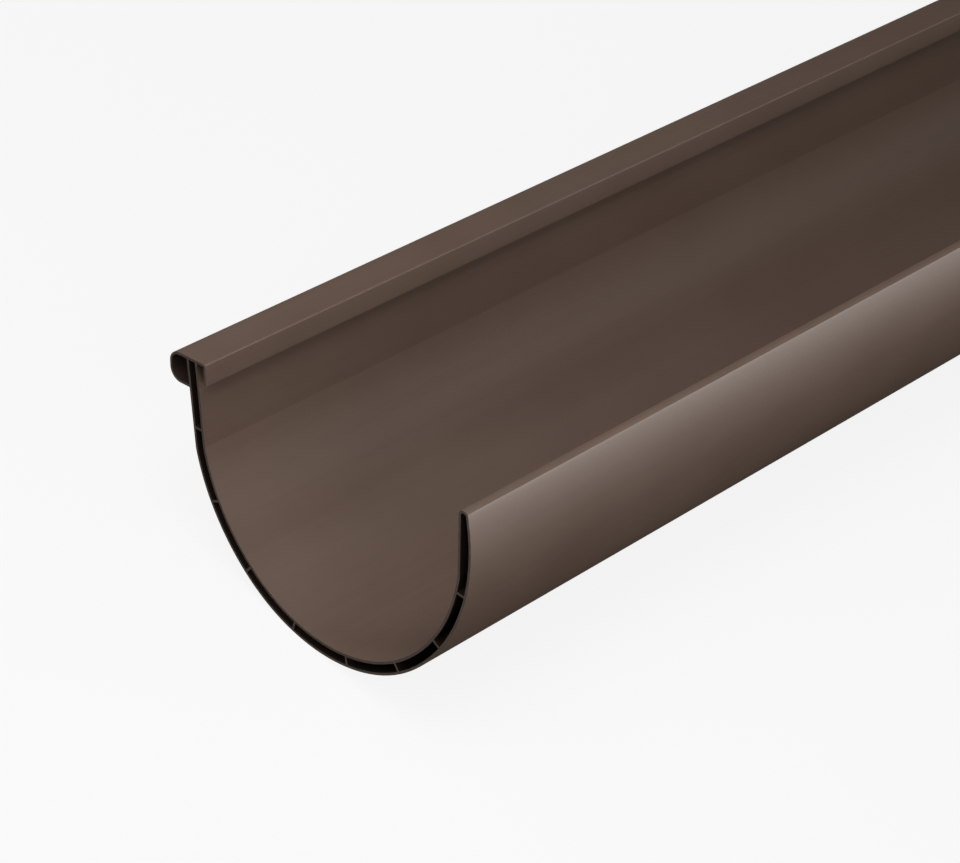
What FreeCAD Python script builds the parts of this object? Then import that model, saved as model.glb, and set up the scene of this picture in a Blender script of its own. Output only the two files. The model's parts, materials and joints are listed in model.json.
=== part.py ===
# Half-round rain gutter, one length of extruded twin-wall plastic.
# Two thin skins with ribs between them make the trough. The front edge carries a hollow bead
# and, under the same flat flange, a lip that hangs down inside and leaves a hook groove.
# The rear wall ends in a slanted tip.
# Millimetres. X runs across the gutter, Y along it and Z up. The origin is on the near cut
# end, on the line on which the gutter lies on the ground.
import FreeCAD, Part

import math
import os

import Sketcher

os.makedirs("parts", exist_ok=True)
doc = FreeCAD.newDocument("gutter")
vector = FreeCAD.Vector

# ---- Driving sizes. Levels are measured up from the centre of the bottom arc. ----

sizes = {
    "length": 2000.0,          # along the gutter, cut square at both ends
    "bottom_radius": 63.7,     # outer face of the bottom arc
    "bottom_turn": 40.0,       # degrees that the bottom arc covers on each side
    "side_radius": 76.7,       # outer face of the flatter side arcs
    "wall_depth": 5.2,         # over both skins, along the arcs
    "skin": 1.0,
    "rib": 0.9,
    "rib_pitch": 25.1,         # degrees from rib to rib
    "rib_start": 7.4,          # degrees of the rearmost rib below the arc's centre
    "outer_crease": -5.0,      # level at which the front wall's outer face turns straight
    "inner_crease": -3.0,      # the same for its inner face
    "outer_lean": 4.2,         # degrees that the outer face leans outwards
    "inner_lean": 3.8,         # degrees that the inner face leans outwards
    "flange_level": 31.0,      # top of the flange
    "flange": 1.0,             # thickness of the flange over the groove
    "bead_width": 9.8,         # from the wall's outer face, at the foot of the bead
    "bead_height": 12.1,
    "bead_round": 4.0,         # corners of the bead's hollow, one skin less than outside
    "groove": 3.5,             # clear width between the inner face and the lip
    "lip": 0.9,
    "lip_drop": 8.7,           # from the top of the flange to the end of the lip
    "lip_round": 0.6,          # corner between flange and lip
    "rear_crease": -1.0,       # level at which the rear wall's inner face turns straight
    "tip_crease": 24.3,        # level at which its outer face ends at the tip's band
    "tip_width": 4.15,         # over the rear wall at the tip
    "tip_round": 1.0,          # inner corner of the tip's hollow, one skin less than outside
    "tip_fall": 20.0,          # degrees that the tip's band falls outwards
}
ribCount = 8

sheet = doc.addObject("Spreadsheet::Sheet", "Sizes")


# One row of the sheet: a plain number with a word to call it by.
def addSize(row, alias, value):
    sheet.set(f"A{row}", alias)
    sheet.set(f"B{row}", str(value))
    sheet.setAlias(f"B{row}", alias)


for row, (alias, value) in enumerate(sizes.items(), start=1):
    addSize(row, alias, value)
doc.recompute()

# ---- Geometry and sketch helpers ----

startPoint, endPoint, centrePoint = range(1, 4)
origin = (-1, startPoint)
acrossGutter = FreeCAD.Placement(vector(0, 0, 0), FreeCAD.Rotation(vector(1, 0, 0), 90))


# A point at a distance and an angle, in degrees, from a centre.
def polar(centre, radius, angle):
    turn = math.radians(angle)
    return vector(centre.x + radius * math.cos(turn), centre.y + radius * math.sin(turn), 0)


# The direction of a point from a centre, in degrees.
def angleOf(centre, point):
    return math.degrees(math.atan2(point.y - centre.y, point.x - centre.x))


# An arc that runs anticlockwise from one angle to the other, in degrees.
def arc(centre, radius, first, last):
    circle = Part.Circle(centre, vector(0, 0, 1), radius)
    return Part.ArcOfCircle(circle, math.radians(first), math.radians(last))


def line(first, last):
    return Part.LineSegment(first, last)


# A sketch across the gutter, on the X and Z axes, with its edges by name.
def newSketch(name, edges):
    sketch = doc.addObject("Sketcher::SketchObject", name)
    sketch.Placement = acrossGutter
    return sketch, {edge: sketch.addGeometry(shape) for edge, shape in edges.items()}


def join(sketch, kind, first, second):
    sketch.addConstraint(Sketcher.Constraint(kind, *first, *second))


def align(sketch, kind, edges):
    for edge in edges:
        sketch.addConstraint(Sketcher.Constraint(kind, edge))


# A constraint whose value follows an expression of the sheet.
def bind(sketch, kind, target, value, expression):
    index = sketch.addConstraint(Sketcher.Constraint(kind, *target, value))
    sketch.setExpression(f"Constraints[{index}]", expression)


# The height of a point over the sketch's origin.
def bindLevel(sketch, point, value, expression):
    bind(sketch, "DistanceY", (*origin, *point), value, expression)


# The distance of a point to the right of the sketch's origin.
def bindAcross(sketch, point, value, expression):
    bind(sketch, "DistanceX", (*origin, *point), value, expression)


# A measured distance that other sketches refer to by its name.
def measureAcross(sketch, point, value, name):
    index = sketch.addConstraint(Sketcher.Constraint("DistanceX", *origin, *point, value))
    sketch.setDriving(index, False)
    sketch.renameConstraint(index, name)


def extrude(name, profile):
    solid = doc.addObject("Part::Extrusion", name)
    solid.Base = profile
    solid.DirMode = "Custom"
    solid.Dir = vector(0, 1, 0)
    solid.Solid = True
    solid.setExpression("LengthFwd", "Sizes.length")
    return solid


def fuse(name, shapes):
    result = doc.addObject("Part::MultiFuse", name)
    result.Shapes = shapes
    return result


def cut(name, base, tool):
    result = doc.addObject("Part::Cut", name)
    result.Base = base
    result.Tool = tool
    return result


# ---- The wall: its outline, and the gap between its skins, which runs one skin inside ----

# Both loops come from here. The inset is how far the loop lies inside the outline, as a
# number and as an expression of the sheet.
bottomTurn = math.radians(sheet.bottom_turn)
rearEnd = sheet.bottom_turn - 90
frontEnd = -90 - sheet.bottom_turn
bottomCentre = vector(0, 0, 0)
rearCentre = polar(bottomCentre, sheet.bottom_radius - sheet.side_radius, rearEnd)
frontCentre = polar(bottomCentre, sheet.bottom_radius - sheet.side_radius, frontEnd)


# The point at a level on a side arc, on the rear side at +1 and on the front side at -1.
def onSideArc(centre, radius, level, side):
    rise = level - centre.y
    return vector(centre.x + side * math.sqrt(radius ** 2 - rise ** 2), level, 0)


# The point at a level on a line that leans outwards, to the front, above its foot.
def onLeaningLine(foot, lean, level):
    return vector(foot.x - (level - foot.y) * math.tan(math.radians(lean)), level, 0)


# Where the line from a point to a circle touches it, on the side to the left of the line.
def touchPoint(point, centre, radius):
    reach = centre - point
    swing = math.asin(radius / reach.Length) + math.atan2(reach.y, reach.x)
    return polar(point, math.sqrt(reach.Length ** 2 - radius ** 2), math.degrees(swing))


def wallLoop(name, inset, insetName):
    bottomOuter = sheet.bottom_radius - inset
    bottomInner = sheet.bottom_radius - sheet.wall_depth + inset
    sideOuter = sheet.side_radius - inset
    sideInner = sheet.side_radius - sheet.wall_depth + inset
    top = sheet.flange_level - inset

    corner = sheet.tip_round + sheet.skin
    tipFall = math.radians(sheet.tip_fall)
    tipRun = sheet.tip_width - corner
    tipRise = sheet.tip_crease + tipRun * math.tan(tipFall) - corner / math.cos(tipFall)
    tipCentre = vector(onSideArc(rearCentre, sheet.side_radius, sheet.tip_crease, 1).x - tipRun, tipRise, 0)
    tipRound = corner - inset
    tipCrest = polar(tipCentre, tipRound, 90 - sheet.tip_fall)
    tipOuter = onSideArc(rearCentre, sideOuter, sheet.tip_crease - inset, 1)
    rearCrease = onSideArc(rearCentre, sideInner, sheet.rear_crease, 1)
    rearTop = touchPoint(rearCrease, tipCentre, tipRound)
    innerCrease = onSideArc(frontCentre, sideInner, sheet.inner_crease, -1)
    outerCrease = onSideArc(frontCentre, sideOuter, sheet.outer_crease, -1)
    innerTop = onLeaningLine(innerCrease, sheet.inner_lean, top)
    outerTop = onLeaningLine(outerCrease, sheet.outer_lean, top)

    sketch, edge = newSketch(name, {
        "bottomOuter": arc(bottomCentre, bottomOuter, frontEnd, rearEnd),
        "rearOuter": arc(rearCentre, sideOuter, rearEnd, angleOf(rearCentre, tipOuter)),
        "tipBand": line(tipOuter, tipCrest),
        "tipCorner": arc(tipCentre, tipRound, 90 - sheet.tip_fall, 90 + angleOf(rearCrease, rearTop)),
        "rearInner": line(rearTop, rearCrease),
        "rearInnerArc": arc(rearCentre, sideInner, rearEnd, angleOf(rearCentre, rearCrease)),
        "bottomInner": arc(bottomCentre, bottomInner, frontEnd, rearEnd),
        "frontInnerArc": arc(frontCentre, sideInner, angleOf(frontCentre, innerCrease), frontEnd),
        "frontInner": line(innerCrease, innerTop),
        "top": line(innerTop, outerTop),
        "frontOuter": line(outerTop, outerCrease),
        "frontOuterArc": arc(frontCentre, sideOuter, angleOf(frontCentre, outerCrease), frontEnd),
    })

    # Each bottom arc runs smoothly into its two side arcs, at the angle that it covers.
    for bottom, radius, label in (
        ("bottomOuter", bottomOuter, f"(Sizes.bottom_radius - {insetName})"),
        ("bottomInner", bottomInner, f"(Sizes.bottom_radius - Sizes.wall_depth + {insetName})"),
    ):
        join(sketch, "Coincident", (edge[bottom], centrePoint), origin)
        bind(sketch, "Radius", (edge[bottom],), radius, label)
        for point in (startPoint, endPoint):
            bindLevel(
                sketch, (edge[bottom], point), -radius * math.cos(bottomTurn),
                f"-{label} * cos(Sizes.bottom_turn * 1deg)",
            )
    for side, radius, label in (
        ("rearOuter", sideOuter, f"Sizes.side_radius - {insetName}"),
        ("frontOuterArc", sideOuter, f"Sizes.side_radius - {insetName}"),
        ("rearInnerArc", sideInner, f"Sizes.side_radius - Sizes.wall_depth + {insetName}"),
        ("frontInnerArc", sideInner, f"Sizes.side_radius - Sizes.wall_depth + {insetName}"),
    ):
        bind(sketch, "Radius", (edge[side],), radius, label)
    join(sketch, "Tangent", (edge["bottomOuter"], endPoint), (edge["rearOuter"], startPoint))
    join(sketch, "Tangent", (edge["bottomOuter"], startPoint), (edge["frontOuterArc"], endPoint))
    join(sketch, "Tangent", (edge["bottomInner"], endPoint), (edge["rearInnerArc"], startPoint))
    join(sketch, "Tangent", (edge["bottomInner"], startPoint), (edge["frontInnerArc"], endPoint))

    # Rear wall: the inner face turns straight at a crease and runs up to the tip's round
    # corner, and from there a band falls outwards to the end of the outer face.
    join(sketch, "Coincident", (edge["rearOuter"], endPoint), (edge["tipBand"], startPoint))
    join(sketch, "Tangent", (edge["tipBand"], endPoint), (edge["tipCorner"], startPoint))
    join(sketch, "Tangent", (edge["tipCorner"], endPoint), (edge["rearInner"], startPoint))
    join(sketch, "Coincident", (edge["rearInner"], endPoint), (edge["rearInnerArc"], endPoint))
    bindLevel(sketch, (edge["rearInner"], endPoint), sheet.rear_crease, "Sizes.rear_crease")
    bind(
        sketch, "Radius", (edge["tipCorner"],), tipRound,
        f"Sizes.tip_round + Sizes.skin - {insetName}",
    )
    tipRunName = "(Sizes.tip_width - Sizes.tip_round - Sizes.skin)"
    bindLevel(
        sketch, (edge["tipCorner"], centrePoint), tipRise,
        f"Sizes.tip_crease + {tipRunName} * tan(Sizes.tip_fall * 1deg)"
        " - (Sizes.tip_round + Sizes.skin) / cos(Sizes.tip_fall * 1deg)",
    )
    arcShift = "(Sizes.bottom_radius - Sizes.side_radius)"
    bindAcross(
        sketch, (edge["tipCorner"], centrePoint), tipCentre.x,
        f"{arcShift} * sin(Sizes.bottom_turn * 1deg) - {tipRunName} + sqrt(Sizes.side_radius ^ 2"
        f" - (Sizes.tip_crease + {arcShift} * cos(Sizes.bottom_turn * 1deg)) ^ 2)",
    )
    bind(
        sketch, "Angle", (edge["tipBand"],), math.radians(180 - sheet.tip_fall),
        "(180 - Sizes.tip_fall) * 1deg",
    )

    # Front wall: both faces turn straight at a crease and lean outwards up to the flange.
    join(sketch, "Coincident", (edge["frontInnerArc"], startPoint), (edge["frontInner"], startPoint))
    join(sketch, "Coincident", (edge["frontInner"], endPoint), (edge["top"], startPoint))
    join(sketch, "Coincident", (edge["top"], endPoint), (edge["frontOuter"], startPoint))
    join(sketch, "Coincident", (edge["frontOuter"], endPoint), (edge["frontOuterArc"], startPoint))
    align(sketch, "Horizontal", (edge["top"],))
    bindLevel(sketch, (edge["top"], startPoint), top, f"Sizes.flange_level - {insetName}")
    bindLevel(sketch, (edge["frontInner"], startPoint), sheet.inner_crease, "Sizes.inner_crease")
    bindLevel(sketch, (edge["frontOuter"], endPoint), sheet.outer_crease, "Sizes.outer_crease")
    bind(
        sketch, "Angle", (edge["frontInner"],), math.radians(90 + sheet.inner_lean),
        "(90 + Sizes.inner_lean) * 1deg",
    )
    bind(
        sketch, "Angle", (edge["frontOuter"],), math.radians(sheet.outer_lean - 90),
        "(Sizes.outer_lean - 90) * 1deg",
    )
    measureAcross(sketch, (edge["frontInner"], endPoint), innerTop.x, "innerTop")
    measureAcross(sketch, (edge["frontOuter"], startPoint), outerTop.x, "outerTop")
    return sketch, innerTop, outerTop


wallOutline, innerTop, outerTop = wallLoop("WallOutline", 0, "0")
wallGapOutline, _, _ = wallLoop("WallGapOutline", sheet.skin, "Sizes.skin")

# ---- The bead: its outline, whose back lies one skin deep in the wall, and its bore ----

leanTurn = math.radians(sheet.outer_lean)


def beadLoop(name, inset, insetName):
    top = sheet.flange_level - inset
    foot = sheet.flange_level - sheet.bead_height + inset
    front = outerTop.x + sheet.bead_height * math.tan(leanTurn) - sheet.bead_width + inset
    corner = sheet.bead_round + sheet.skin - inset
    backStep = (sheet.skin - inset) / math.cos(leanTurn) + inset * math.tan(leanTurn)
    backTop = vector(outerTop.x + backStep, top, 0)
    backFoot = onLeaningLine(backTop, sheet.outer_lean, foot)
    upperCentre = vector(front + corner, top - corner, 0)
    lowerCentre = vector(front + corner, foot + corner, 0)

    sketch, edge = newSketch(name, {
        "top": line(backTop, polar(upperCentre, corner, 90)),
        "upperRound": arc(upperCentre, corner, 90, 180),
        "front": line(polar(upperCentre, corner, 180), polar(lowerCentre, corner, 180)),
        "lowerRound": arc(lowerCentre, corner, 180, 270),
        "foot": line(polar(lowerCentre, corner, 270), backFoot),
        "back": line(backFoot, backTop),
    })
    join(sketch, "Tangent", (edge["top"], endPoint), (edge["upperRound"], startPoint))
    join(sketch, "Tangent", (edge["upperRound"], endPoint), (edge["front"], startPoint))
    join(sketch, "Tangent", (edge["front"], endPoint), (edge["lowerRound"], startPoint))
    join(sketch, "Tangent", (edge["lowerRound"], endPoint), (edge["foot"], startPoint))
    join(sketch, "Coincident", (edge["foot"], endPoint), (edge["back"], startPoint))
    join(sketch, "Coincident", (edge["back"], endPoint), (edge["top"], startPoint))
    align(sketch, "Horizontal", (edge["top"], edge["foot"]))
    align(sketch, "Vertical", (edge["front"],))
    for corners in ("upperRound", "lowerRound"):
        bind(
            sketch, "Radius", (edge[corners],), corner,
            f"Sizes.bead_round + Sizes.skin - {insetName}",
        )
    bindLevel(sketch, (edge["top"], startPoint), top, f"Sizes.flange_level - {insetName}")
    bindLevel(
        sketch, (edge["foot"], endPoint), foot,
        f"Sizes.flange_level - Sizes.bead_height + {insetName}",
    )
    bind(
        sketch, "Angle", (edge["back"],), math.radians(90 + sheet.outer_lean),
        "(90 + Sizes.outer_lean) * 1deg",
    )
    bindAcross(
        sketch, (edge["back"], endPoint), backTop.x,
        "WallOutline.Constraints.outerTop"
        f" + (Sizes.skin - {insetName}) * 1mm / cos(Sizes.outer_lean * 1deg)"
        f" + {insetName} * 1mm * tan(Sizes.outer_lean * 1deg)",
    )
    bindAcross(
        sketch, (edge["front"], startPoint), front,
        "WallOutline.Constraints.outerTop + Sizes.bead_height * 1mm * tan(Sizes.outer_lean * 1deg)"
        f" - (Sizes.bead_width - {insetName}) * 1mm",
    )
    return sketch


beadOutline = beadLoop("BeadOutline", 0, "0")
beadBoreOutline = beadLoop("BeadBoreOutline", sheet.skin, "Sizes.skin")

# ---- The flange over the groove, with the lip at its inner edge ----

flangeTop = sheet.flange_level
underside = flangeTop - sheet.flange
lipEnd = flangeTop - sheet.lip_drop
flangeRoot = innerTop.x - sheet.skin
grooveFace = innerTop.x + sheet.groove
lipFace = grooveFace + sheet.lip
lipCorner = vector(lipFace - sheet.lip_round, flangeTop - sheet.lip_round, 0)

lipOutline, lip = newSketch("LipOutline", {
    "root": line(vector(flangeRoot, flangeTop, 0), vector(flangeRoot, underside, 0)),
    "underside": line(vector(flangeRoot, underside, 0), vector(grooveFace, underside, 0)),
    "groove": line(vector(grooveFace, underside, 0), vector(grooveFace, lipEnd, 0)),
    "end": line(vector(grooveFace, lipEnd, 0), vector(lipFace, lipEnd, 0)),
    "face": line(vector(lipFace, lipEnd, 0), polar(lipCorner, sheet.lip_round, 0)),
    "corner": arc(lipCorner, sheet.lip_round, 0, 90),
    "top": line(polar(lipCorner, sheet.lip_round, 90), vector(flangeRoot, flangeTop, 0)),
})
join(lipOutline, "Coincident", (lip["root"], endPoint), (lip["underside"], startPoint))
join(lipOutline, "Coincident", (lip["underside"], endPoint), (lip["groove"], startPoint))
join(lipOutline, "Coincident", (lip["groove"], endPoint), (lip["end"], startPoint))
join(lipOutline, "Coincident", (lip["end"], endPoint), (lip["face"], startPoint))
join(lipOutline, "Tangent", (lip["face"], endPoint), (lip["corner"], startPoint))
join(lipOutline, "Tangent", (lip["corner"], endPoint), (lip["top"], startPoint))
join(lipOutline, "Coincident", (lip["top"], endPoint), (lip["root"], startPoint))
align(lipOutline, "Vertical", (lip["root"], lip["groove"], lip["face"]))
align(lipOutline, "Horizontal", (lip["underside"], lip["end"], lip["top"]))
bind(lipOutline, "Radius", (lip["corner"],), sheet.lip_round, "Sizes.lip_round")
bindLevel(lipOutline, (lip["top"], endPoint), flangeTop, "Sizes.flange_level")
bindLevel(lipOutline, (lip["underside"], startPoint), underside, "Sizes.flange_level - Sizes.flange")
bindLevel(lipOutline, (lip["end"], startPoint), lipEnd, "Sizes.flange_level - Sizes.lip_drop")
bindAcross(
    lipOutline, (lip["root"], startPoint), flangeRoot,
    "WallOutline.Constraints.innerTop - Sizes.skin * 1mm",
)
bindAcross(
    lipOutline, (lip["end"], startPoint), grooveFace,
    "WallOutline.Constraints.innerTop + Sizes.groove * 1mm",
)
bindAcross(
    lipOutline, (lip["end"], endPoint), lipFace,
    "WallOutline.Constraints.innerTop + (Sizes.groove + Sizes.lip) * 1mm",
)

# ---- Ribs: plates that point at the centre of the bottom arc and divide the gap ----

# The plates run on past both skins: only what crosses the gap stays.
ribs = []
for number in range(ribCount):
    plate = doc.addObject("Part::Box", f"Rib{number + 1}")
    fall = f"(Sizes.rib_start + {number} * Sizes.rib_pitch) * 1deg"
    plate.setExpression("Length", "Sizes.bottom_radius + Sizes.side_radius")
    plate.setExpression("Width", "Sizes.length")
    plate.setExpression("Height", "Sizes.rib")
    plate.Placement = FreeCAD.Placement(vector(0, 0, 0), FreeCAD.Rotation(vector(0, 1, 0), 1))
    plate.setExpression("Placement.Rotation.Angle", fall)
    plate.setExpression("Placement.Base.x", f"-Sizes.rib / 2 * sin({fall})")
    plate.setExpression("Placement.Base.z", f"-Sizes.rib / 2 * cos({fall})")
    ribs.append(plate)

chambers = cut("Chambers", extrude("WallGap", wallGapOutline), fuse("Ribs", ribs))

# ---- The gutter: wall, bead and lip in one, with the chambers and the bead's bore cut out ----

outerForm = fuse("OuterForm", [
    extrude("Wall", wallOutline),
    extrude("Bead", beadOutline),
    extrude("FlangeAndLip", lipOutline),
])
hollows = fuse("Hollows", [chambers, extrude("BeadBore", beadBoreOutline)])
gutter = cut("GutterProfile", outerForm, hollows)
gutter.Label = "gutter_profile"
gutter.Refine = True
doc.recompute()

# ---- Rest: lying free, the gutter turns until its weight is over the line it lies on ----

weightCentre = gutter.Shape.Solids[0].CenterOfMass
addSize(len(sizes) + 1, "rest_turn", math.degrees(math.atan2(-weightCentre.x, -weightCentre.z)))
doc.recompute()
gutter.Placement = FreeCAD.Placement(vector(0, 0, 0), FreeCAD.Rotation(vector(0, -1, 0), 1))
gutter.setExpression("Placement.Rotation.Angle", "Sizes.rest_turn * 1deg")
gutter.setExpression("Placement.Base.z", "Sizes.bottom_radius")
doc.recompute()

# ---- Checks, then the file ----

for item in doc.Objects:
    for state in ("Invalid", "Error"):
        if state in item.State:
            raise RuntimeError(f"{item.Name} is {state}: {item.getStatusString()}")
for outline in (wallOutline, wallGapOutline, beadOutline, beadBoreOutline, lipOutline):
    if not outline.FullyConstrained:
        raise RuntimeError(f"{outline.Name} is not fully constrained")
if gutter.Shape.isNull() or not gutter.Shape.isValid() or len(gutter.Shape.Solids) != 1:
    raise RuntimeError("the gutter is not one valid solid")
if len(chambers.Shape.Solids) != ribCount + 1:
    raise RuntimeError(f"{len(chambers.Shape.Solids)} chambers between {ribCount} ribs")
print("section area", round(gutter.Shape.Volume / sheet.length, 2), "square millimetres")
print("turned at rest by", round(sheet.rest_turn, 2), "degrees")
print("box", gutter.Shape.BoundBox)

gutter.Shape.exportStep(f"parts/{gutter.Label}.step")
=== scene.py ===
import json
import math

import bpy
import numpy as np
from mathutils import Matrix, Vector
from mathutils.geometry import tessellate_polygon


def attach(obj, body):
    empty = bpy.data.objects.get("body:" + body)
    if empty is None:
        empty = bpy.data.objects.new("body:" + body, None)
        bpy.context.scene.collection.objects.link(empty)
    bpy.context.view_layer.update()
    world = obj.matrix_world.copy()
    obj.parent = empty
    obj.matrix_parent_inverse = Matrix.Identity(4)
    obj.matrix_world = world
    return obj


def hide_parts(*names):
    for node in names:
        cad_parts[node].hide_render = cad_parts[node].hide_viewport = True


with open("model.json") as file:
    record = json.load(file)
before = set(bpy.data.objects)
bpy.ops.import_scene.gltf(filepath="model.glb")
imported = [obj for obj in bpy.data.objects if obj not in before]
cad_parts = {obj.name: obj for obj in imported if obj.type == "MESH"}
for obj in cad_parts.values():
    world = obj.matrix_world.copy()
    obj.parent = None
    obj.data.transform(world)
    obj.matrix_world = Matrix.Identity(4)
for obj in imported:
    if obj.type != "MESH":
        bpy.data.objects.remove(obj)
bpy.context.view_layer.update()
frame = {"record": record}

print("frame loaded")

# Gutter: one length of twin-wall plastic, extruded from one section.
# The section's sizes are in millimetres and degrees, in the gutter's fitted position: across
# and up from the centre of its bottom arc. The model is in metres, turned as it comes to rest.

gutter = {
    "length": 2000.0,
    "bottomRadius": 63.7,
    "bottomTurn": 40.0,
    "sideRadius": 76.7,
    "wallDepth": 5.2,
    "skin": 1.0,
    "rib": 0.9,
    "ribPitch": 25.1,
    "ribStart": 7.4,
    "ribCount": 8,
    "outerCrease": -5.0,
    "innerCrease": -3.0,
    "outerLean": 4.2,
    "innerLean": 3.8,
    "flangeLevel": 31.0,
    "flange": 1.0,
    "beadWidth": 9.8,
    "beadHeight": 12.1,
    "beadRound": 4.0,
    "groove": 3.5,
    "lip": 0.9,
    "lipDrop": 8.7,
    "lipRound": 0.6,
    "rearCrease": -1.0,
    "tipCrease": 24.3,
    "tipWidth": 4.15,
    "tipRound": 1.0,
    "tipFall": 20.0,
    "edgeRound": 0.12,        # the die leaves every sharp line of the section a little round
    "sharpTurn": 25.0,        # degrees from which a corner is rounded
    "roundSteps": 3,
    "roundReach": 0.45,       # the share of the next stretch that a rounding may take
    "creaseTurn": 6.0,        # degrees from which a bend of the section stays a crisp line
    "arcStep": 1.0,           # degrees from point to point on the large arcs, then on the small
    "lipStep": 6.0,
    "tipStep": 5.0,
    "boreStep": 5.0,
    "beadStep": 4.0,
    "longRun": 3.0,           # straight stretches above this length get a point near each end
    "runEnd": 0.3,
    "samePlace": 0.001,       # points closer than this are one point
    "leastCross": 1e-14,      # square metres, below which an end triangle is a sliver on a line
    "lengthStep": 100.0,      # millimetres from ring to ring
    "boreShade": 0.85,        # how much painted shade the bore, the groove and the chambers get, from 0 to 1
    "grooveShade": 0.9,
    "chamberShade": 0.95,
    "grooveMargin": 0.1,      # how far in front of the wall's top the groove's own wall may lie
}


# A point at a distance and an angle from a centre.
def polar(centre, radius, degrees):
    turn = np.radians(degrees)
    return np.stack([centre[0] + radius * np.cos(turn), centre[1] + radius * np.sin(turn)], axis=-1)


# The direction of a point from a centre: the arc tangent of rise over run, in degrees.
def angleOf(centre, point):
    return math.degrees(math.atan2(point[1] - centre[1], point[0] - centre[0]))


# Evenly spaced points on an arc from one angle to the other.
def arcPoints(centre, radius, first, last, step=gutter["arcStep"]):
    count = max(2, round(abs(last - first) / step) + 1)
    return polar(centre, radius, np.linspace(first, last, count))


# The point at a level on a side arc: the root of radius squared less rise squared, sideways.
def onArc(centre, radius, level, side):
    return np.array([centre[0] + side * math.sqrt(radius ** 2 - (level - centre[1]) ** 2), level])


# The point at a level on a line that leans to the front above its foot: run is rise by tangent.
def onLean(foot, lean, level):
    return np.array([foot[0] - (level - foot[1]) * math.tan(math.radians(lean)), level])


# Where the tangent from a point meets a circle on its left: swung by the arc sine of radius over reach.
def touchPoint(point, centre, radius):
    reach = math.dist(point, centre)
    swing = angleOf(point, centre) + math.degrees(math.asin(radius / reach))
    return polar(point, math.sqrt(reach ** 2 - radius ** 2), swing)


# Replaces each corner that turns more than the sharp turn by a quadratic curve close to an arc of
# the radius. The curve starts and ends at radius times the tangent of half the turn from the corner.
def roundCorners(points, radius):
    before = points - np.roll(points, 1, axis=0)
    after = np.roll(points, -1, axis=0) - points
    shorter = np.minimum(np.linalg.norm(before, axis=1), np.linalg.norm(after, axis=1))
    before /= np.linalg.norm(before, axis=1)[:, None]
    after /= np.linalg.norm(after, axis=1)[:, None]
    turn = np.arccos(np.clip((before * after).sum(axis=1), -1, 1))
    back = np.minimum(radius * np.tan(turn / 2), shorter * gutter["roundReach"])
    sharp = np.degrees(turn) > gutter["sharpTurn"]
    share = np.linspace(0, 1, gutter["roundSteps"] + 1)[None, :, None]
    start = (points - before * back[:, None])[:, None]
    end = (points + after * back[:, None])[:, None]
    middle = points[:, None]
    curves = (1 - share) ** 2 * start + 2 * share * (1 - share) * middle + share ** 2 * end
    curves[~sharp] = middle[~sharp]
    kept = sharp[:, None] | (np.arange(gutter["roundSteps"] + 1) == 0)
    creased = (np.degrees(turn) > gutter["creaseTurn"]) & ~sharp
    counts = kept.sum(axis=1)
    return curves[kept], np.repeat(sharp, counts), np.repeat(creased, counts)


# Adds points near both ends of each long straight stretch, so that its shading stays flat.
def holdRuns(points, sharp, creased):
    run = np.roll(points, -1, axis=0) - points
    length = np.linalg.norm(run, axis=1)
    isLong = length > gutter["longRun"]
    step = run / length[:, None] * gutter["runEnd"]
    rows = np.stack([points, points + step, np.roll(points, -1, axis=0) - step], axis=1)
    kept = np.stack([np.ones_like(isLong), isLong, isLong], axis=1)
    added = np.zeros_like(isLong)
    masks = [np.stack([mask, added, added], axis=1)[kept] for mask in (sharp, creased)]
    return rows[kept], *masks


# The section: the arcs' centres, and the angles at which the bottom arc meets the side arcs.
g = gutter
bottomCentre = np.zeros(2)
rearEnd = g["bottomTurn"] - 90
frontEnd = -90 - g["bottomTurn"]
rearCentre = polar(bottomCentre, g["bottomRadius"] - g["sideRadius"], rearEnd)
frontCentre = polar(bottomCentre, g["bottomRadius"] - g["sideRadius"], frontEnd)


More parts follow.
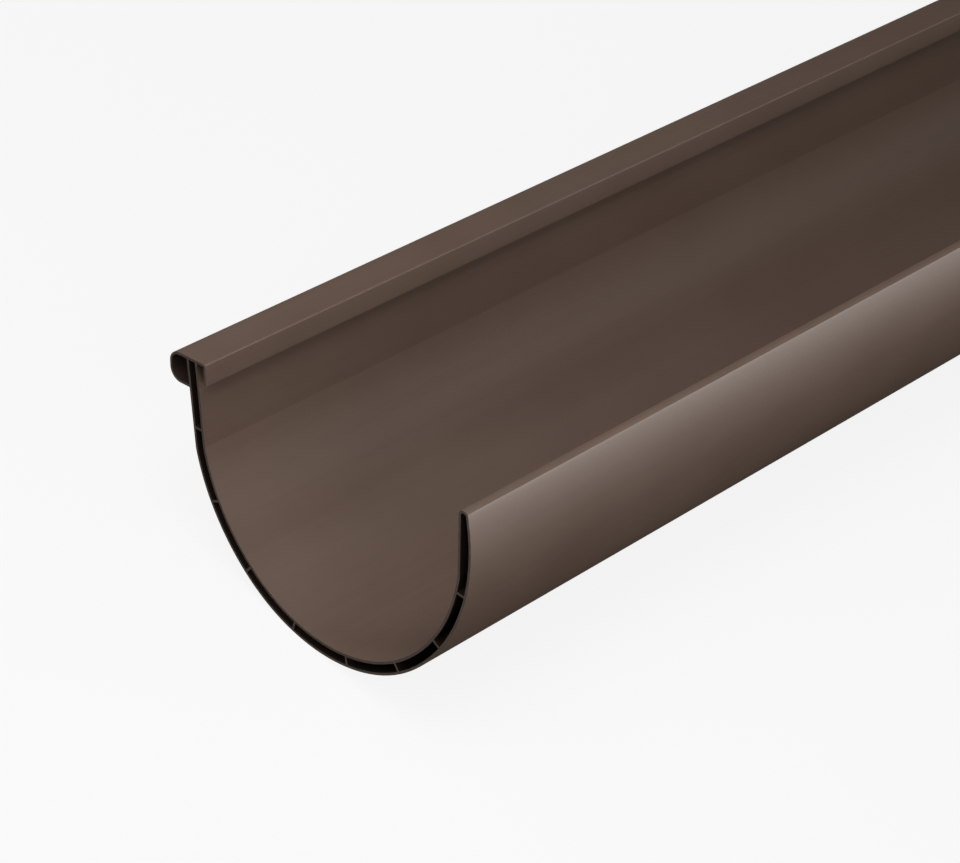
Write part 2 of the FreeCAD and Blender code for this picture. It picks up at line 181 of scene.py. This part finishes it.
# The wall's outline at an inset, by face: rear tip, rear face, trough arcs, front face, outer arcs.
def wallFaces(inset):
    outerSide = g["sideRadius"] - inset
    innerSide = g["sideRadius"] - g["wallDepth"] + inset
    fall = math.radians(g["tipFall"])
    corner = g["tipRound"] + g["skin"]
    run = g["tipWidth"] - corner
    crease = onArc(rearCentre, g["sideRadius"], g["tipCrease"], 1)
    tipCentre = crease + [-run, run * math.tan(fall) - corner / math.cos(fall)]
    crest = polar(tipCentre, corner - inset, 90 - g["tipFall"])
    down = np.array([math.cos(fall), -math.sin(fall)])
    fromCentre = crest - rearCentre
    along = fromCentre @ down
    bandLength = -along + math.sqrt(along ** 2 + outerSide ** 2 - fromCentre @ fromCentre)
    tipOuter = crest + bandLength * down
    rearCrease = onArc(rearCentre, innerSide, g["rearCrease"], 1)
    rearTop = touchPoint(rearCrease, tipCentre, corner - inset)
    innerCrease = onArc(frontCentre, innerSide, g["innerCrease"], -1)
    outerCrease = onArc(frontCentre, outerSide, g["outerCrease"], -1)
    return {
        "rearOuter": arcPoints(rearCentre, outerSide, rearEnd, angleOf(rearCentre, tipOuter)),
        "tip": arcPoints(
            tipCentre, corner - inset, 90 - g["tipFall"], angleOf(tipCentre, rearTop) % 360,
            g["tipStep"],
        ),
        "rearInner": arcPoints(rearCentre, innerSide, angleOf(rearCentre, rearCrease), rearEnd),
        "bottomInner": arcPoints(
            bottomCentre, g["bottomRadius"] - g["wallDepth"] + inset, rearEnd, frontEnd,
        )[1:],
        "frontInner": arcPoints(frontCentre, innerSide, frontEnd, angleOf(frontCentre, innerCrease))[1:],
        "innerTop": onLean(innerCrease, g["innerLean"], g["flangeLevel"] - inset),
        "outerTop": onLean(outerCrease, g["outerLean"], g["flangeLevel"] - inset),
        "frontOuter": arcPoints(frontCentre, outerSide, angleOf(frontCentre, outerCrease), frontEnd),
        "bottomOuter": arcPoints(bottomCentre, g["bottomRadius"] - inset, frontEnd, rearEnd)[1:-1],
        "outerCrease": outerCrease,
    }


# The outside of the section, anticlockwise: wall, bead and lip in one line.
def outerLine():
    wall = wallFaces(0)
    top = g["flangeLevel"]
    foot = top - g["beadHeight"]
    corner = g["beadRound"] + g["skin"]
    front = wall["outerTop"][0] + g["beadHeight"] * math.tan(math.radians(g["outerLean"])) - g["beadWidth"]
    beadRoot = onLean(wall["outerCrease"], g["outerLean"], foot)
    groove = wall["innerTop"][0] + g["groove"]
    lipFace = groove + g["lip"]
    lipEnd = top - g["lipDrop"]
    underside = top - g["flange"]
    innerFoot = wall["frontInner"][-1]
    grooveRoot = onLean(innerFoot, g["innerLean"], underside)
    lipCorner = np.array([lipFace - g["lipRound"], top - g["lipRound"]])
    return np.concatenate([
        wall["rearOuter"],
        wall["tip"],
        wall["rearInner"],
        wall["bottomInner"],
        wall["frontInner"],
        [onLean(innerFoot, g["innerLean"], lipEnd)],
        [grooveRoot, [groove, underside], [groove, lipEnd], [lipFace, lipEnd]],
        arcPoints(lipCorner, g["lipRound"], 0, 90, g["lipStep"]),
        arcPoints([front + corner, top - corner], corner, 90, 180, g["beadStep"]),
        arcPoints([front + corner, foot + corner], corner, 180, 270, g["beadStep"]),
        [beadRoot],
        wall["frontOuter"],
        wall["bottomOuter"],
    ])


# The bead's bore, anticlockwise, one skin inside the bead.
def beadBore():
    wall = wallFaces(0)
    lean = math.radians(g["outerLean"])
    top = g["flangeLevel"] - g["skin"]
    foot = g["flangeLevel"] - g["beadHeight"] + g["skin"]
    front = wall["outerTop"][0] + g["beadHeight"] * math.tan(lean) - g["beadWidth"] + g["skin"]
    backTop = np.array([wall["outerTop"][0] + g["skin"] * math.tan(lean), top])
    corner = g["beadRound"]
    return np.concatenate([
        [onLean(backTop, g["outerLean"], foot), backTop],
        arcPoints([front + corner, top - corner], corner, 90, 180, g["boreStep"]),
        arcPoints([front + corner, foot + corner], corner, 180, 270, g["boreStep"]),
    ])


# Where a ray from the bottom arc's centre, moved sideways by half a rib, leaves a chain of points:
# the chain is walked until it changes sides of the ray, and the crossing is found by proportion.
def crossing(chain, direction, shift):
    side = chain @ np.array([-direction[1], direction[0]]) - shift
    ahead = chain @ direction > 0
    changes = np.nonzero((side[:-1] * side[1:] <= 0) & ahead[:-1])[0]
    at = changes[0]
    share = side[at] / (side[at] - side[at + 1])
    return at, chain[at] + share * (chain[at + 1] - chain[at])


# The chambers: the gap between the skins, divided by ribs that point at the bottom arc's centre.
def chambers():
    gap = wallFaces(g["skin"])
    outer = np.concatenate([
        [gap["outerTop"]], gap["frontOuter"], gap["bottomOuter"], gap["rearOuter"],
    ])
    inner = np.concatenate([
        [gap["innerTop"]], gap["frontInner"][::-1], gap["bottomInner"][::-1],
        gap["rearInner"][::-1], gap["tip"][::-1],
    ])
    outerCut, innerCut = [], []
    for number in reversed(range(g["ribCount"])):
        turn = math.radians(g["ribStart"] + number * g["ribPitch"])
        direction = np.array([math.cos(turn), -math.sin(turn)])
        for shift in (-g["rib"] / 2, g["rib"] / 2):
            outerCut.append(crossing(outer, direction, shift))
            innerCut.append(crossing(inner, direction, shift))
    loops = []
    starts = [None] + list(range(1, 2 * g["ribCount"], 2))
    for start in starts:
        stop = 0 if start is None else start + 1
        last = stop >= len(outerCut)
        sides = []
        for chain, cuts in ((outer, outerCut), (inner, innerCut)):
            first = [] if start is None else [cuts[start][1]]
            low = 0 if start is None else cuts[start][0] + 1
            high = len(chain) if last else cuts[stop][0] + 1
            final = [] if last else [cuts[stop][1]]
            sides.append(np.array([*first, *chain[low:high], *final]))
        loops.append(np.concatenate([sides[0], sides[1][::-1]]))
    return loops


# Twice the area inside a loop, positive when it runs anticlockwise: the sum of cross products.
def doubleArea(points):
    following = np.roll(points, -1, axis=0)
    return (points[:, 0] * following[:, 1] - points[:, 1] * following[:, 0]).sum()


# Drops points that repeat the one before them.
def withoutRepeats(points):
    return points[np.linalg.norm(points - np.roll(points, 1, axis=0), axis=1) > g["samePlace"]]


# The rest turn, from the record: the flange's upward direction leans by its sine and cosine.
flangeUp = next(m["axis"] for m in frame["record"]["mounts"] if m["name"] == "flange_top")
restTurn = math.atan2(-flangeUp[0], flangeUp[2])


# Fitted position to rest: a turn about the bottom arc's centre, then up by its radius.
def toRest(points):
    across, up = points[..., 0], points[..., 1]
    return np.stack([
        across * math.cos(restTurn) - up * math.sin(restTurn),
        across * math.sin(restTurn) + up * math.cos(restTurn) + g["bottomRadius"],
    ], axis=-1) / 1000


# How much painted shade each point of a loop gets: one value for the bore and one for the chambers, and in
# the groove the height over the lip's end as a share of the groove's depth, so the painted shade deepens
# towards the flange.
def shadeOf(number, points):
    if number > 0:
        return np.full(len(points), g["boreShade"] if number == 1 else g["chamberShade"])
    wall = wallFaces(0)["innerTop"][0]
    across = points[:, 0] - wall
    height = points[:, 1] - g["flangeLevel"] + g["lipDrop"]
    depth = g["lipDrop"] - g["flange"]
    behindLip = (across > -g["grooveMargin"]) & (across < g["groove"] + g["samePlace"])
    inside = behindLip & (height < depth + g["samePlace"])
    return np.where(inside, np.clip(height / depth, 0, 1) * g["grooveShade"], 0.0)


# The outer loop runs anticlockwise and the hollows clockwise, so the material is always on the left.
# With the loops come, for each point, whether its edge is rounded, whether it is a crease, and shade.
def orderedLoops():
    loops = [outerLine(), beadBore(), *chambers()]
    ordered, masks = [], []
    for number, points in enumerate(loops):
        section = holdRuns(*roundCorners(withoutRepeats(points), g["edgeRound"]))
        if (doubleArea(section[0]) > 0) == (number > 0):
            section = [part[::-1] for part in section]
        ordered.append(toRest(section[0]))
        masks.append([*section[1:], shadeOf(number, section[0])])
    return ordered, *(np.concatenate(parts) for parts in zip(*masks))


# Extrudes the loops along the gutter: each ring joins the next by quads, and both ends are closed
# with the triangles of the flat section.
def extrudedMesh(name, loops, length, ringCount):
    section = np.concatenate(loops)
    levels = np.linspace(0, length, ringCount)
    count = len(section)
    places = np.empty((ringCount, count, 3))
    places[:, :, 0] = section[:, 0]
    places[:, :, 1] = levels[:, None]
    places[:, :, 2] = section[:, 1]
    current = np.arange(count)
    following = np.empty(count, int)
    start = 0
    for loop in loops:
        following[start:start + len(loop)] = start + np.roll(np.arange(len(loop)), -1)
        start += len(loop)
    ring = (np.arange(ringCount - 1) * count)[:, None]
    quads = np.stack([
        current + ring, current + ring + count, following + ring + count, following + ring,
    ], axis=-1).reshape(-1, 4)
    triangles = np.array(tessellate_polygon([[Vector((*p, 0)) for p in loop] for loop in loops]))
    cross = np.cross(
        section[triangles[:, 1]] - section[triangles[:, 0]],
        section[triangles[:, 2]] - section[triangles[:, 0]],
    )
    triangles = triangles[np.abs(cross) > g["leastCross"]]
    clockwise = cross[np.abs(cross) > g["leastCross"]] < 0
    triangles[clockwise] = triangles[clockwise][:, ::-1]
    far = triangles[:, ::-1] + (ringCount - 1) * count
    mesh = bpy.data.meshes.new(name)
    faces = [*quads.tolist(), *triangles.tolist(), *far.tolist()]
    mesh.from_pydata(places.reshape(-1, 3).tolist(), [], faces)
    isEnd = np.zeros(len(faces), bool)
    isEnd[len(quads):] = True
    mesh.polygons.foreach_set("use_smooth", ~isEnd)
    mesh.update()
    return mesh, isEnd


# Marks the creases along the gutter and the outlines of both cut ends as sharp.
def markSharp(mesh, creased, ringCount):
    count = len(creased)
    ends = np.empty(len(mesh.edges) * 2, np.int32)
    mesh.edges.foreach_get("vertices", ends)
    first, second = np.sort(ends.reshape(-1, 2), axis=1).T
    along = (second - first == count) & creased[first % count]
    cutEnd = (second < count) | (first >= (ringCount - 1) * count)
    mesh.edges.foreach_set("use_edge_sharp", along | cutEnd)


loops, roundedEdge, creased, shade = orderedLoops()
ringCount = round(g["length"] / g["lengthStep"]) + 1
gutterMesh, isEnd = extrudedMesh("gutterSection", loops, g["length"] / 1000, ringCount)
markSharp(gutterMesh, creased, ringCount)
sawn = gutterMesh.attributes.new("sawnEnd", "FLOAT", "FACE")
sawn.data.foreach_set("value", isEnd.astype(np.float32))
rubbed = gutterMesh.attributes.new("rubbedEdge", "FLOAT", "POINT")
rubbed.data.foreach_set("value", np.tile(roundedEdge, ringCount).astype(np.float32))
# Each point's painted shade for the bore, the chambers and the groove, repeated along the gutter.
paintedShade = gutterMesh.attributes.new("paintedShade", "FLOAT", "POINT")
paintedShade.data.foreach_set("value", np.tile(shade, ringCount).astype(np.float32))
gutterPiece = bpy.data.objects.new("gutterSection", gutterMesh)
bpy.context.scene.collection.objects.link(gutterPiece)
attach(gutterPiece, "root")
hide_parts("gutter_profile")
print("gutter built:", len(gutterMesh.polygons), "faces,", [len(loop) for loop in loops], "points by loop")

# Brown plastic. Colours are linear, scales are per metre and depths in metres.
plastic = {
    "baseColour": (0.143, 0.093, 0.068, 1),
    "darkColour": (0.131, 0.084, 0.061, 1),
    "dustColour": (0.30, 0.25, 0.21, 1),
    # The cut ends' two colours are darker than the surface as painted shade; the saw marks run between
    # them.
    "sawnShadedColour": (0.085, 0.058, 0.043, 1),
    "sawnShadedDark": (0.055, 0.036, 0.027, 1),
    "paintedShadeColour": (0.006, 0.004, 0.003, 1),   # painted shade: near black, for the little light that gets into the bore, chambers and groove
    "toneRange": (0.35, 0.65),  # the noise values between which a mix goes from one end to the other
    "sawRange": (0.3, 0.7),
    "roughness": 0.5,
    "roughnessSwing": 0.08,
    "sawnRoughness": 0.75,
    "specular": 1.0,
    "grainPerMetre": 260.0,     # streaks across, for each metre
    "grainStretch": 0.012,      # their scale along the gutter, as a share of that across
    "mottlePerMetre": 28.0,
    "specksPerMetre": 1400.0,
    "dust": 0.10,
    "edgeWear": 0.12,
    "wornRoughness": 0.2,       # how much rougher a fully worn edge is
    "bump": 0.08,               # strength of the relief
    "bumpDepth": 0.00006,
    "sawPerMetre": 900.0,
    "sawStretch": (0.06, 1.0, 1.0),
    "streakNoise": (4.0, 0.6),  # detail and roughness of each noise
    "mottleNoise": (5.0, 0.55),
    "sawNoise": (3.0, 0.6),
    "patchDetail": 3.0,
    "patchRange": (0.42, 0.72),
    "speckDetail": 2.0,
    "speckRange": (0.45, 0.7),
}


# A shader node group with named sockets. Kinds are the socket types' short names.
def newGroup(name, inputs, outputs):
    tree = bpy.data.node_groups.new(name, "ShaderNodeTree")
    for label, kind, value in inputs:
        socket = tree.interface.new_socket(name=label, in_out="INPUT", socket_type=f"NodeSocket{kind}")
        if value is not None:
            socket.default_value = value
    for label, kind in outputs:
        tree.interface.new_socket(name=label, in_out="OUTPUT", socket_type=f"NodeSocket{kind}")
    return tree, tree.nodes.new("NodeGroupInput"), tree.nodes.new("NodeGroupOutput")


# A new shader node with its settings set by name.
def addNode(tree, kind, **settings):
    node = tree.nodes.new(f"ShaderNode{kind}")
    for key, value in settings.items():
        setattr(node, key, value)
    return node


# Feeds a socket from another socket or with a constant.
def feed(tree, source, target):
    if isinstance(source, bpy.types.NodeSocket):
        tree.links.new(source, target)
    else:
        target.default_value = source


# One arithmetic step on up to three values.
def calculate(tree, operation, first, second=0.0, third=0.0):
    node = addNode(tree, "Math", operation=operation)
    for number, value in enumerate((first, second, third)):
        feed(tree, value, node.inputs[number])
    return node.outputs[0]


# Smooth remap of a value from one range to another.
def remap(tree, value, low, high, toLow=0.0, toHigh=1.0):
    node = addNode(tree, "MapRange", interpolation_type="SMOOTHSTEP")
    for number, part in enumerate((value, low, high, toLow, toHigh)):
        feed(tree, part, node.inputs[number])
    return node.outputs[0]


# Noise from 0 to 1 at a place multiplied by the scale.
def noise(tree, vector, scale, detail, roughness=0.5):
    node = addNode(tree, "TexNoise")
    feed(tree, vector, node.inputs["Vector"])
    feed(tree, scale, node.inputs["Scale"])
    feed(tree, detail, node.inputs["Detail"])
    feed(tree, roughness, node.inputs["Roughness"])
    return node.outputs["Fac"]


# A place with each coordinate multiplied by its own factor.
def stretched(tree, vector, factors):
    node = addNode(tree, "VectorMath", operation="MULTIPLY")
    feed(tree, vector, node.inputs[0])
    feed(tree, factors, node.inputs[1])
    return node.outputs[0]


# The first colour at factor 0 and the second at 1.
def mixColours(tree, factor, first, second):
    node = addNode(tree, "Mix", data_type="RGBA")
    feed(tree, factor, node.inputs["Factor"])
    colours = [socket for socket in node.inputs if socket.type == "RGBA"]
    feed(tree, first, colours[0])
    feed(tree, second, colours[1])
    return next(socket for socket in node.outputs if socket.type == "RGBA")


# Marks that the die leaves: streaks along the gutter, as noise stretched along it, and soft mottling.
def makeDieMarks():
    tree, given, result = newGroup(
        "dieMarks",
        [("place", "Vector", None), ("streaks", "Float", 260.0), ("stretch", "Float", 0.012),
         ("mottles", "Float", 28.0)],
        [("streak", "Float"), ("mottle", "Float")],
    )
    combine = addNode(tree, "CombineXYZ")
    feed(tree, 1.0, combine.inputs[0])
    feed(tree, given.outputs["stretch"], combine.inputs[1])
    feed(tree, 1.0, combine.inputs[2])
    long = stretched(tree, given.outputs["place"], combine.outputs[0])
    fine = noise(tree, long, given.outputs["streaks"], *plastic["streakNoise"])
    feed(tree, fine, result.inputs["streak"])
    broad = noise(tree, given.outputs["place"], given.outputs["mottles"], *plastic["mottleNoise"])
    feed(tree, broad, result.inputs["mottle"])
    return tree


# Fine dust and scuffs: two noises multiplied, so that they gather in patches.
def makeDust():
    tree, given, result = newGroup(
        "dustPatches",
        [("place", "Vector", None), ("patches", "Float", 9.0), ("specks", "Float", 1400.0),
         ("amount", "Float", 0.1)],
        [("mask", "Float")],
    )
    place = given.outputs["place"]
    patchNoise = noise(tree, place, given.outputs["patches"], plastic["patchDetail"])
    patch = remap(tree, patchNoise, *plastic["patchRange"])
    speckNoise = noise(tree, place, given.outputs["specks"], plastic["speckDetail"])
    speck = remap(tree, speckNoise, *plastic["speckRange"])
    both = calculate(tree, "MULTIPLY", patch, speck)
    feed(tree, calculate(tree, "MULTIPLY", both, given.outputs["amount"]), result.inputs["mask"])
    return tree


# Marks of the saw on the cut ends: fine lines that run across, as noise stretched sideways.
def makeSawMarks():
    tree, given, result = newGroup(
        "sawMarks",
        [("place", "Vector", None), ("lines", "Float", 900.0)],
        [("line", "Float")],
    )
    level = stretched(tree, given.outputs["place"], plastic["sawStretch"])
    line = noise(tree, level, given.outputs["lines"], *plastic["sawNoise"])
    feed(tree, line, result.inputs["line"])
    return tree


# A node group put into a tree, with its inputs fed by name.
def useGroup(tree, group, **values):
    node = addNode(tree, "Group", node_tree=group)
    for label, value in values.items():
        feed(tree, value, node.inputs[label])
    return node


# The mesh's own value of a name.
def attribute(tree, name):
    return addNode(tree, "Attribute", attribute_name=name).outputs["Fac"]


# Satin plastic. Its tone is the mean of streaks and mottling, its edges are paler and rougher where the
# mottling is strong, its bore, chambers and groove get painted shade without gloss, and its cut ends are
# matt with saw marks and painted shade.
def makePlastic(p):
    material = bpy.data.materials.new("brownPlastic")
    material.use_nodes = True
    tree = material.node_tree
    shader = tree.nodes["Principled BSDF"]
    place = addNode(tree, "TexCoord").outputs["Object"]
    die = useGroup(
        tree, makeDieMarks(), place=place, streaks=p["grainPerMetre"], stretch=p["grainStretch"],
        mottles=p["mottlePerMetre"],
    )
    dust = useGroup(tree, makeDust(), place=place, specks=p["specksPerMetre"], amount=p["dust"])
    saw = useGroup(tree, makeSawMarks(), place=place, lines=p["sawPerMetre"])
    sawnEnd = attribute(tree, "sawnEnd")
    rubbed = calculate(
        tree, "MULTIPLY", attribute(tree, "rubbedEdge"),
        remap(tree, die.outputs["mottle"], *p["toneRange"], 0.0, p["edgeWear"]),
    )

    tone = calculate(
        tree, "ADD", calculate(tree, "MULTIPLY", die.outputs["streak"], 0.5),
        calculate(tree, "MULTIPLY", die.outputs["mottle"], 0.5),
    )
    colour = mixColours(tree, remap(tree, tone, *p["toneRange"]), p["darkColour"], p["baseColour"])
    colour = mixColours(tree, rubbed, colour, p["dustColour"])
    colour = mixColours(tree, dust.outputs["mask"], colour, p["dustColour"])
    # Painted shade in the bore, the chambers and the groove, kept off the cut ends.
    uncut = calculate(tree, "SUBTRACT", 1.0, sawnEnd)
    paintedShade = calculate(tree, "MULTIPLY", attribute(tree, "paintedShade"), uncut)
    colour = mixColours(tree, paintedShade, colour, p["paintedShadeColour"])
    # The cut ends: saw marks in colours darkened as painted shade.
    sawnShadedTone = mixColours(
        tree, remap(tree, saw.outputs["line"], *p["sawRange"]), p["sawnShadedDark"], p["sawnShadedColour"],
    )
    feed(tree, mixColours(tree, sawnEnd, colour, sawnShadedTone), shader.inputs["Base Color"])

    swing = calculate(
        tree, "MULTIPLY_ADD", die.outputs["mottle"], p["roughnessSwing"],
        p["roughness"] - p["roughnessSwing"] / 2,
    )
    worn = calculate(tree, "MULTIPLY_ADD", rubbed, p["wornRoughness"], swing)
    end = calculate(tree, "SUBTRACT", p["sawnRoughness"], worn)
    feed(tree, calculate(tree, "MULTIPLY_ADD", sawnEnd, end, worn), shader.inputs["Roughness"])
    # The gloss is taken away where shade is painted.
    shine = calculate(tree, "MULTIPLY_ADD", paintedShade, -p["specular"], p["specular"])
    feed(tree, shine, shader.inputs["Specular IOR Level"])

    bump = addNode(tree, "Bump")
    feed(tree, p["bump"], bump.inputs["Strength"])
    feed(tree, p["bumpDepth"], bump.inputs["Distance"])
    relief = calculate(tree, "MULTIPLY_ADD", saw.outputs["line"], sawnEnd, die.outputs["streak"])
    feed(tree, relief, bump.inputs["Height"])
    feed(tree, bump.outputs["Normal"], shader.inputs["Normal"])
    return material


gutterMesh.materials.append(makePlastic(plastic))
print("plastic made")

# Floor, light and camera.
studio = {
    "floorSize": 14.0,
    "floorColour": (0.82, 0.82, 0.82, 1),
    "cloudColour": (0.77, 0.77, 0.77, 1),
    "bounceColour": (0.02, 0.02, 0.02, 1),   # what the floor throws back at the object
    "floorRoughness": (0.9, 1.0),
    "cloudsPerMetre": 3.0,
    "cloudDetail": 4.0,
    "cloudRange": (0.3, 0.7),
    "glow": 0.9,                              # share of the floor's look that doesn't wait for light
    "glowStrength": 0.97,
    "ambient": 0.045,
    "skyStrength": 0.9,                       # as the camera sees it
}

floorMesh = bpy.data.meshes.new("studioFloor")
half = studio["floorSize"] / 2
floorMesh.from_pydata(
    [(-half, -half, 0), (half, -half, 0), (half, half, 0), (-half, half, 0)], [], [(0, 1, 2, 3)],
)
floor = bpy.data.objects.new("studioFloor", floorMesh)
bpy.context.scene.collection.objects.link(floor)


# Pale matt paint: faint clouds in colour and roughness. The camera sees it near white with the
# object's shadow on it, and on the object it has the weak bounce of a far-off floor.
def makeFloorPaint(s):
    material = bpy.data.materials.new("floorPaint")
    material.use_nodes = True
    tree = material.node_tree
    shader = tree.nodes["Principled BSDF"]
    output = tree.nodes["Material Output"]
    place = addNode(tree, "TexCoord").outputs["Object"]
    cloud = noise(tree, place, s["cloudsPerMetre"], s["cloudDetail"])
    seen = addNode(tree, "LightPath").outputs["Is Camera Ray"]
    paint = mixColours(tree, remap(tree, cloud, *s["cloudRange"]), s["floorColour"], s["cloudColour"])
    feed(tree, mixColours(tree, seen, s["bounceColour"], paint), shader.inputs["Base Color"])
    roughness = remap(tree, cloud, *s["cloudRange"], *s["floorRoughness"])
    feed(tree, roughness, shader.inputs["Roughness"])
    feed(tree, 0.0, shader.inputs["Specular IOR Level"])
    white = addNode(tree, "Emission")
    feed(tree, s["glowStrength"], white.inputs["Strength"])
    mixed = addNode(tree, "MixShader")
    feed(tree, calculate(tree, "MULTIPLY", seen, s["glow"]), mixed.inputs[0])
    feed(tree, shader.outputs[0], mixed.inputs[1])
    feed(tree, white.outputs[0], mixed.inputs[2])
    feed(tree, mixed.outputs[0], output.inputs["Surface"])
    return material


floorMesh.materials.append(makeFloorPaint(studio))

world = bpy.data.worlds.new("studioWorld")
world.use_nodes = True
background = world.node_tree.nodes["Background"]
background.inputs["Color"].default_value = (1, 1, 1, 1)
skySeen = addNode(world.node_tree, "LightPath").outputs["Is Camera Ray"]
skyGain = studio["skyStrength"] - studio["ambient"]
skyLevel = calculate(world.node_tree, "MULTIPLY_ADD", skySeen, skyGain, studio["ambient"])
feed(world.node_tree, skyLevel, background.inputs["Strength"])
bpy.context.scene.world = world


# Softboxes around the near end and one over the far half. Places and sizes are in metres, powers
# in watts and spreads in degrees.
softboxes = {
    "overhead": {"place": (0.1, -0.1, 1.0), "size": 0.5, "power": 3.0},
    "frontAbove": {"place": (-0.15, -0.5, 0.9), "size": 0.8, "power": 3.85},
    "nearEnd": {"place": (0.25, -0.7, 0.6), "size": 0.5, "power": 2.5},
    "side": {"place": (0.9, -0.35, 0.45), "size": 0.6, "power": 2.4},
    "farHalf": {
        "place": (0.0, 1.5, 1.1), "size": 0.7, "power": 5.0, "target": (0.0, 1.5, 0.0), "spread": 75.0,
    },
}
nearTarget = (0.0, 0.05, 0.05)

# Wide far lights: the low one behind the rear wall gives it its sheen, the high one gives the
# trough its bright band, and one from the front fills the side of the bead. Angles in degrees.
farLights = {
    "sheen": {"heading": 40.0, "rise": 6.0, "spread": 20.0, "strength": 1.27},
    "band": {"heading": 40.0, "rise": 32.0, "spread": 12.0, "strength": 0.21},
    "fill": {"heading": 180.0, "rise": 8.0, "spread": 20.0, "strength": 0.8},
}
farLightColour = (1.0, 0.95, 0.91)


# A light that shines along a direction: its own axis points back from there.
def addLight(name, kind, direction):
    data = bpy.data.lights.new(name, kind)
    light = bpy.data.objects.new(name, data)
    light.rotation_mode = "QUATERNION"
    light.rotation_quaternion = Vector(direction).to_track_quat("-Z", "Y")
    bpy.context.scene.collection.objects.link(light)
    return light


# A round softbox aimed at its own target, or else at the near end.
def addSoftbox(name, box):
    target = box.get("target", nearTarget)
    light = addLight(name, "AREA", Vector(target) - Vector(box["place"]))
    light.location = box["place"]
    light.data.shape = "DISK"
    light.data.size = box["size"]
    light.data.energy = box["power"]
    light.data.spread = math.radians(box.get("spread", 180.0))


# A far light's direction is the cosines and sines of its heading from across, and of its rise.
def addFarLight(name, far, colour):
    heading, rise = math.radians(far["heading"]), math.radians(far["rise"])
    level = math.cos(rise)
    away = Vector((level * math.cos(heading), level * math.sin(heading), math.sin(rise)))
    light = addLight(name, "SUN", -away)
    light.data.angle = math.radians(far["spread"])
    light.data.energy = far["strength"]
    light.data.color = colour


for boxName, box in softboxes.items():
    addSoftbox(boxName, box)
for farName, far in farLights.items():
    addFarLight(farName, far, farLightColour)

# The camera stands over the gutter's fitted position and turns to rest together with it.
view = {
    "place": (681.72, -632.86, 568.26),  # millimetres across, along and up from the arc's centre
    "heading": 43.91,                    # degrees to the left of the gutter's run
    "fall": 30.16,                       # degrees that it looks down
    "lens": 120.0,
    "sensor": 36.0,
}


# Axes of a camera that is turned to a heading and then looks down, turned to rest with the gutter.
def cameraMatrix(v):
    heading, fall = math.radians(v["heading"]), math.radians(v["fall"])
    forward = Vector((
        -math.sin(heading) * math.cos(fall), math.cos(heading) * math.cos(fall), -math.sin(fall),
    ))
    right = Vector((math.cos(heading), math.sin(heading), 0))
    axes = Matrix((right, right.cross(forward), -forward)).transposed().to_4x4()
    turned = Matrix.Rotation(-restTurn, 4, "Y") @ Matrix.Translation(Vector(v["place"]) / 1000) @ axes
    return Matrix.Translation((0, 0, g["bottomRadius"] / 1000)) @ turned


cameraData = bpy.data.cameras.new("camera")
cameraData.sensor_width = view["sensor"]
cameraData.lens = view["lens"]
camera = bpy.data.objects.new("camera", cameraData)
camera.matrix_world = cameraMatrix(view)
bpy.context.scene.collection.objects.link(camera)
bpy.context.scene.camera = camera
bpy.context.scene.view_settings.view_transform = "Standard"
print("studio set")
